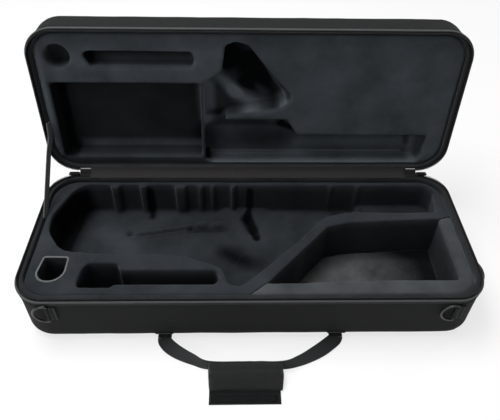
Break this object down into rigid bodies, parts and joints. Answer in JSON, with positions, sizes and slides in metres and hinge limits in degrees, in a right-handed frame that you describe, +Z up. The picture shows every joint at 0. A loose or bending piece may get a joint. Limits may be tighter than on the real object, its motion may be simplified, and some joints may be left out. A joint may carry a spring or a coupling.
{
  "type": "tenor saxophone case",
  "caption": "Soft-covered zip-around case with a moulded plush inlay, hinged lid on a cloth gusset, webbing handles and strap rings, shown open.",
  "frame": {"origin": "centre of the base's flat underside", "axes": "+X along the case's length, -Y to the front where the handle is, +Z up"},
  "size_m": [0.854, 0.5794, 0.4461],
  "materials": {
    "cover_cloth": "coarse woven nylon, dark charcoal",
    "binding_tape": "stitched binding tape",
    "foam_shell": "stiff closed-cell foam, stands in as fabric",
    "piping": "cloth-covered cord",
    "plush": "short-pile plush, blue grey",
    "rim_welt": "padded lining cloth",
    "zip_tape": "woven tape",
    "zip_teeth": "moulded zip teeth",
    "hinge_lining": "brownish grey lining cloth",
    "edge_trim": "light grey edging",
    "slider_metal": "gunmetal slider",
    "webbing": "ribbed nylon webbing",
    "sewn_patch": "box-stitched webbing",
    "grip_cloth": "padded woven grip",
    "hook_strip": "hook-and-loop strip",
    "ring_metal": "dark plated wire"
  },
  "bodies": {
    "base": {"base_binding": "binding_tape", "base_core": "foam_shell", "base_cover": "cover_cloth", "base_cover_edge": "cover_cloth", "base_cover_panel": "cover_cloth", "base_inlay_back": "plush", "base_inlay_bell_bed": "plush", "base_inlay_bridge": "plush", "base_inlay_divider": "plush", "base_inlay_floor_left": "plush", "base_inlay_floor_right": "plush", "base_inlay_front": "plush", "base_inlay_left": "plush", "base_inlay_right": "plush", "base_piping": "piping", "base_rim_welt": "rim_welt", "base_zip_tape": "zip_tape", "base_zip_teeth": "zip_teeth", "compartment_corner": "plush", "compartment_floor": "plush", "handle_anchors": "sewn_patch", "hinge_gusset": "zip_tape", "hinge_lining": "hinge_lining", "lid_strap": "webbing", "ring_tabs": "sewn_patch", "well_trim": "edge_trim", "zip_end_left": "zip_teeth", "zip_end_right": "zip_teeth"},
    "lid": {"lid_binding": "binding_tape", "lid_core": "foam_shell", "lid_cover": "cover_cloth", "lid_cover_edge": "cover_cloth", "lid_cover_panel": "cover_cloth", "lid_handle_anchors": "sewn_patch", "lid_inlay_bell_bed": "plush", "lid_inlay_crown": "plush", "lid_inlay_divider": "plush", "lid_inlay_floor_left": "plush", "lid_inlay_floor_right": "plush", "lid_inlay_hinge_left": "plush", "lid_inlay_hinge_right": "plush", "lid_inlay_left": "plush", "lid_inlay_right": "plush", "lid_inlay_right_end": "plush", "lid_piping": "piping", "lid_rim_welt": "rim_welt", "lid_zip_tape": "zip_tape", "lid_zip_teeth": "zip_teeth"},
    "slider_left": {"slider_left": "slider_metal"},
    "slider_right": {"slider_right": "slider_metal"},
    "pull_left": {"pull_left": "slider_metal"},
    "pull_right": {"pull_right": "slider_metal"},
    "ring_front_left": {"dee_ring_front_left": "ring_metal"},
    "ring_front_right": {"dee_ring_front_right": "ring_metal"},
    "ring_end_right": {"dee_ring_end_right": "ring_metal"},
    "handle": {"handle_webbing": "webbing", "handle_grip": "grip_cloth"},
    "flap": {"grip_flap": "grip_cloth", "grip_hook_strip": "hook_strip"},
    "lid_handle": {"lid_handle_webbing": "webbing"}
  },
  "joints": [
    {"name": "lid_hinge", "type": "hinge", "parent": "base", "child": "lid", "pos_m": [0, 0.161, 0.126], "axis": [1, 0, 0], "range_deg": [0, 95], "deforming": ["hinge_gusset", "hinge_lining", "zip_end_left", "zip_end_right", "lid_strap"]},
    {"name": "slider_right_travel", "type": "slide", "parent": "base", "child": "slider_right", "axis": [-1, 0, 0], "range_m": [0, 0.018]},
    {"name": "slider_left_travel", "type": "slide", "parent": "base", "child": "slider_left", "axis": [1, 0, 0], "range_m": [0, 0.018]},
    {"name": "pull_right_swing", "type": "hinge", "parent": "slider_right", "child": "pull_right", "pos_m": [0.373, 0.1666, 0.1168], "axis": [1, 0, 0], "range_deg": [0, 85]},
    {"name": "pull_left_swing", "type": "hinge", "parent": "slider_left", "child": "pull_left", "pos_m": [-0.373, 0.1666, 0.1168], "axis": [1, 0, 0], "range_deg": [0, 85]},
    {"name": "ring_front_left_swing", "type": "hinge", "parent": "base", "child": "ring_front_left", "pos_m": [-0.354, -0.1619, 0.088], "axis": [0, 0, 1], "range_deg": [0, 150]},
    {"name": "ring_front_right_swing", "type": "hinge", "parent": "base", "child": "ring_front_right", "pos_m": [0.361, -0.1619, 0.086], "axis": [0, 0, 1], "range_deg": [0, 150]},
    {"name": "ring_end_swing", "type": "hinge", "parent": "base", "child": "ring_end_right", "pos_m": [0.4209, -0.07, 0.088], "axis": [0, 0, 1], "range_deg": [-24, 125]},
    {"name": "handle_lift", "type": "hinge", "parent": "base", "child": "handle", "pos_m": [0, -0.1584, 0.0015], "axis": [-1, 0, 0], "range_deg": [0, 45]},
    {"name": "grip_flap_fold", "type": "hinge", "parent": "handle", "child": "flap", "pos_m": [0, -0.2634, 0.0027], "axis": [-1, 0, 0], "range_deg": [0, 90]},
    {"name": "lid_handle_swing", "type": "hinge", "parent": "lid", "child": "lid_handle", "pos_m": [0, 0.27708, 0.41097], "axis": [1, 0, 0], "range_deg": [0, 120]}
  ]
}
